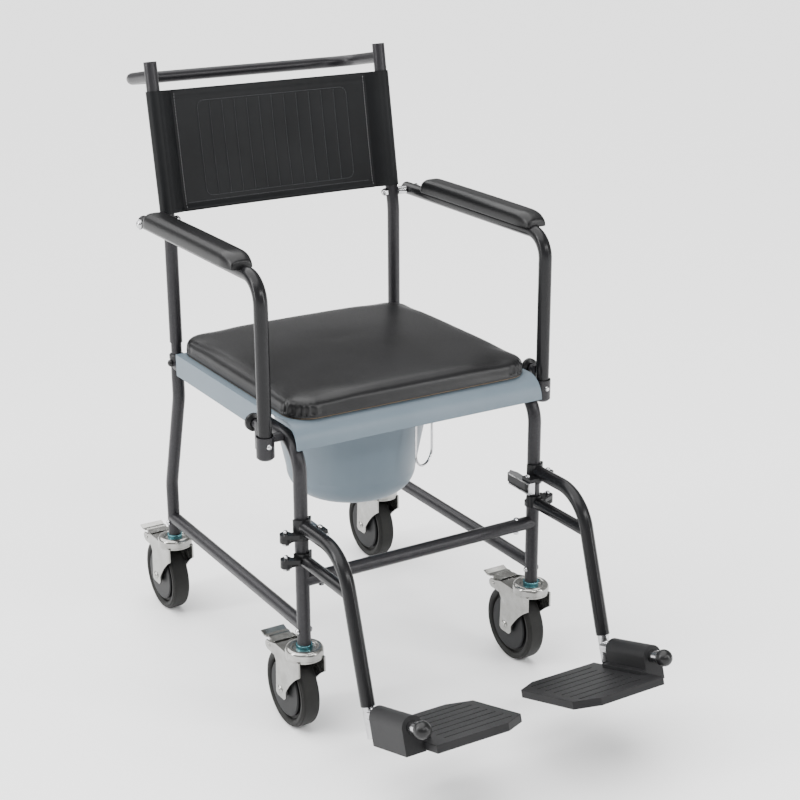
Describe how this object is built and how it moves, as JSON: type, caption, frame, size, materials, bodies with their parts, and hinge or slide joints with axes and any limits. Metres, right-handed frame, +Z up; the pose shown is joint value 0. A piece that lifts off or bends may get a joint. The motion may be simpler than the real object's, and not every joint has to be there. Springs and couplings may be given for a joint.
{
  "type": "commode chair",
  "caption": "Wheeled steel-tube commode chair with a lift-off cushion, slide-out bucket, swing-up padded arms, swing-away footrests and braked swivel castors.",
  "frame": {"origin": "centre of the bounding box on the floor, under the four wheels", "axes": "+Z up, -Y the way the sitter faces, +X to the sitter's left"},
  "size_m": [0.546, 0.9581, 0.9658],
  "materials": {
    "frame_paint": "fine hammertone powder coat, satin",
    "black_paint": "semi-gloss powder coat",
    "zinc": "bright zinc plate",
    "chrome": "polished",
    "seat_plastic": "moulded, fine texture",
    "vinyl": "black vinyl, low sheen",
    "arm_pad_foam": "self-skinned foam, low sheen",
    "footplate_plastic": "moulded, fine texture",
    "black_plastic": "smooth",
    "hub_plastic": "moulded",
    "tyre": "smooth solid rubber",
    "board": "bare edge"
  },
  "bodies": {
    "frame": {"right_side_tube": "frame_paint", "left_side_tube": "frame_paint", "rear_legs": "frame_paint", "lower_side_rails": "frame_paint", "front_crossbar": "frame_paint", "crossbar_sockets": "frame_paint", "rear_crossbar": "frame_paint", "back_posts": "frame_paint", "post_collars": "black_plastic", "post_lock_bolts": "black_plastic", "push_handle": "frame_paint", "backrest_sling": "vinyl", "seat_deck": "seat_plastic", "bucket_guides": "frame_paint", "arm_sockets": "frame_paint", "frame_bolts": "chrome", "arm_pivot_bolts": "chrome", "arm_pivot_spacers": "chrome", "hanger_lugs": "black_paint", "hanger_pins": "chrome", "castor_stems": "zinc", "swivel_caps": "zinc"},
    "right_arm": {"right_arm_tube": "black_paint", "right_arm_pad": "arm_pad_foam"},
    "right_arm_lock": {"right_arm_lock": "black_plastic"},
    "right_hanger": {"right_hanger": "black_paint", "right_latch_bracket": "chrome"},
    "right_latch": {"right_latch_lever": "black_plastic"},
    "right_footrest": {"right_footrest_tube": "chrome", "right_ball_cap": "black_plastic"},
    "right_footplate": {"right_footplate": "footplate_plastic"},
    "left_arm": {"left_arm_tube": "black_paint", "left_arm_pad": "arm_pad_foam"},
    "left_arm_lock": {"left_arm_lock": "black_plastic"},
    "left_hanger": {"left_hanger": "black_paint", "left_latch_bracket": "chrome"},
    "left_latch": {"left_latch_lever": "black_plastic"},
    "left_footrest": {"left_footrest_tube": "chrome", "left_ball_cap": "black_plastic"},
    "left_footplate": {"left_footplate": "footplate_plastic"},
    "castor_front_right": {"fork_front_right": "zinc"},
    "wheel_front_right": {"hub_front_right": "hub_plastic", "tyre_front_right": "tyre"},
    "brake_front_right": {"brake_front_right": "zinc"},
    "castor_front_left": {"fork_front_left": "zinc"},
    "wheel_front_left": {"hub_front_left": "hub_plastic", "tyre_front_left": "tyre"},
    "brake_front_left": {"brake_front_left": "zinc"},
    "castor_rear_right": {"fork_rear_right": "zinc"},
    "wheel_rear_right": {"hub_rear_right": "hub_plastic", "tyre_rear_right": "tyre"},
    "brake_rear_right": {"brake_rear_right": "zinc"},
    "castor_rear_left": {"fork_rear_left": "zinc"},
    "wheel_rear_left": {"hub_rear_left": "hub_plastic", "tyre_rear_left": "tyre"},
    "brake_rear_left": {"brake_rear_left": "zinc"},
    "cushion": {"seat_cushion": "vinyl", "cushion_board": "board"},
    "bucket": {"bucket": "seat_plastic"},
    "bucket_handle": {"bucket_handle": "chrome"}
  },
  "joints": [
    {"name": "right_arm_swing", "type": "hinge", "parent": "frame", "child": "right_arm", "pos_m": [-0.246, 0.31346, 0.717], "axis": [-1, 0, 0], "range_deg": [0, 95]},
    {"name": "right_arm_lock_pull", "type": "slide", "parent": "frame", "child": "right_arm_lock", "axis": [0, 1, 0], "range_m": [0, 0.008], "stiffness_N_per_m": 300, "springref_m": -0.01},
    {"name": "right_hanger_swing", "type": "hinge", "parent": "frame", "child": "right_hanger", "pos_m": [-0.2355, -0.1232, 0.32], "axis": [0, 0, -1], "range_deg": [0, 90]},
    {"name": "right_latch_squeeze", "type": "hinge", "parent": "right_hanger", "child": "right_latch", "pos_m": [-0.1865, -0.1372, 0.33], "axis": [0, 0, -1], "range_deg": [0, 15], "stiffness_Nm_per_rad": 0.5, "springref_deg": -5.73},
    {"name": "right_footrest_height", "type": "slide", "parent": "right_hanger", "child": "right_footrest", "axis": [0, -0.3019, -0.9533], "range_m": [-0.002, 0.06]},
    {"name": "right_footplate_flip", "type": "hinge", "parent": "right_footrest", "child": "right_footplate", "pos_m": [-0.207, -0.43007, 0.16481], "axis": [0, -0.9533, 0.3019], "range_deg": [0, 90]},
    {"name": "left_arm_swing", "type": "hinge", "parent": "frame", "child": "left_arm", "pos_m": [0.246, 0.31346, 0.717], "axis": [-1, 0, 0], "range_deg": [0, 95]},
    {"name": "left_arm_lock_pull", "type": "slide", "parent": "frame", "child": "left_arm_lock", "axis": [0, 1, 0], "range_m": [0, 0.008], "stiffness_N_per_m": 300, "springref_m": -0.01},
    {"name": "left_hanger_swing", "type": "hinge", "parent": "frame", "child": "left_hanger", "pos_m": [0.2355, -0.1232, 0.32], "axis": [0, 0, 1], "range_deg": [0, 90]},
    {"name": "left_latch_squeeze", "type": "hinge", "parent": "left_hanger", "child": "left_latch", "pos_m": [0.1865, -0.1372, 0.33], "axis": [0, 0, 1], "range_deg": [0, 15], "stiffness_Nm_per_rad": 0.5, "springref_deg": -5.73},
    {"name": "left_footrest_height", "type": "slide", "parent": "left_hanger", "child": "left_footrest", "axis": [0, -0.3019, -0.9533], "range_m": [-0.009, 0.053]},
    {"name": "left_footplate_flip", "type": "hinge", "parent": "left_footrest", "child": "left_footplate", "pos_m": [0.207, -0.43218, 0.15814], "axis": [0, 0.9533, -0.3019], "range_deg": [0, 90]},
    {"name": "swivel_front_right", "type": "hinge", "parent": "frame", "child": "castor_front_right", "pos_m": [-0.2085, -0.1212, 0.13], "axis": [0, 0, 1], "continuous": true},
    {"name": "wheel_roll_front_right", "type": "hinge", "parent": "castor_front_right", "child": "wheel_front_right", "pos_m": [-0.2085, -0.0802, 0.0625], "axis": [1, 0, 0], "continuous": true},
    {"name": "brake_press_front_right", "type": "hinge", "parent": "castor_front_right", "child": "brake_front_right", "pos_m": [-0.2085, -0.0472, 0.124], "axis": [-1, 0, 0], "range_deg": [0, 10]},
    {"name": "swivel_front_left", "type": "hinge", "parent": "frame", "child": "castor_front_left", "pos_m": [0.2085, -0.1212, 0.13], "axis": [0, 0, 1], "continuous": true},
    {"name": "wheel_roll_front_left", "type": "hinge", "parent": "castor_front_left", "child": "wheel_front_left", "pos_m": [0.2085, -0.0802, 0.0625], "axis": [1, 0, 0], "continuous": true},
    {"name": "brake_press_front_left", "type": "hinge", "parent": "castor_front_left", "child": "brake_front_left", "pos_m": [0.2085, -0.0472, 0.124], "axis": [-1, 0, 0], "range_deg": [0, 10]},
    {"name": "swivel_rear_right", "type": "hinge", "parent": "frame", "child": "castor_rear_right", "pos_m": [-0.2085, 0.3578, 0.13], "axis": [0, 0, 1], "continuous": true},
    {"name": "wheel_roll_rear_right", "type": "hinge", "parent": "castor_rear_right", "child": "wheel_rear_right", "pos_m": [-0.2085, 0.3988, 0.0625], "axis": [1, 0, 0], "continuous": true},
    {"name": "brake_press_rear_right", "type": "hinge", "parent": "castor_rear_right", "child": "brake_rear_right", "pos_m": [-0.2085, 0.4318, 0.124], "axis": [-1, 0, 0], "range_deg": [0, 10]},
    {"name": "swivel_rear_left", "type": "hinge", "parent": "frame", "child": "castor_rear_left", "pos_m": [0.2085, 0.3578, 0.13], "axis": [0, 0, 1], "continuous": true},
    {"name": "wheel_roll_rear_left", "type": "hinge", "parent": "castor_rear_left", "child": "wheel_rear_left", "pos_m": [0.2085, 0.3988, 0.0625], "axis": [1, 0, 0], "continuous": true},
    {"name": "brake_press_rear_left", "type": "hinge", "parent": "castor_rear_left", "child": "brake_rear_left", "pos_m": [0.2085, 0.4318, 0.124], "axis": [-1, 0, 0], "range_deg": [0, 10]},
    {"name": "cushion_lift", "type": "slide", "parent": "frame", "child": "cushion", "axis": [0, 0, 1], "range_m": [0, 0.12]},
    {"name": "bucket_slide", "type": "slide", "parent": "frame", "child": "bucket", "axis": [0, 1, 0], "range_m": [0, 0.35]},
    {"name": "bucket_handle_swing", "type": "hinge", "parent": "bucket", "child": "bucket_handle", "pos_m": [0.06043, -0.0298, 0.448], "axis": [-0.9063, -0.4226, 0], "range_deg": [-12, 90]}
  ]
}
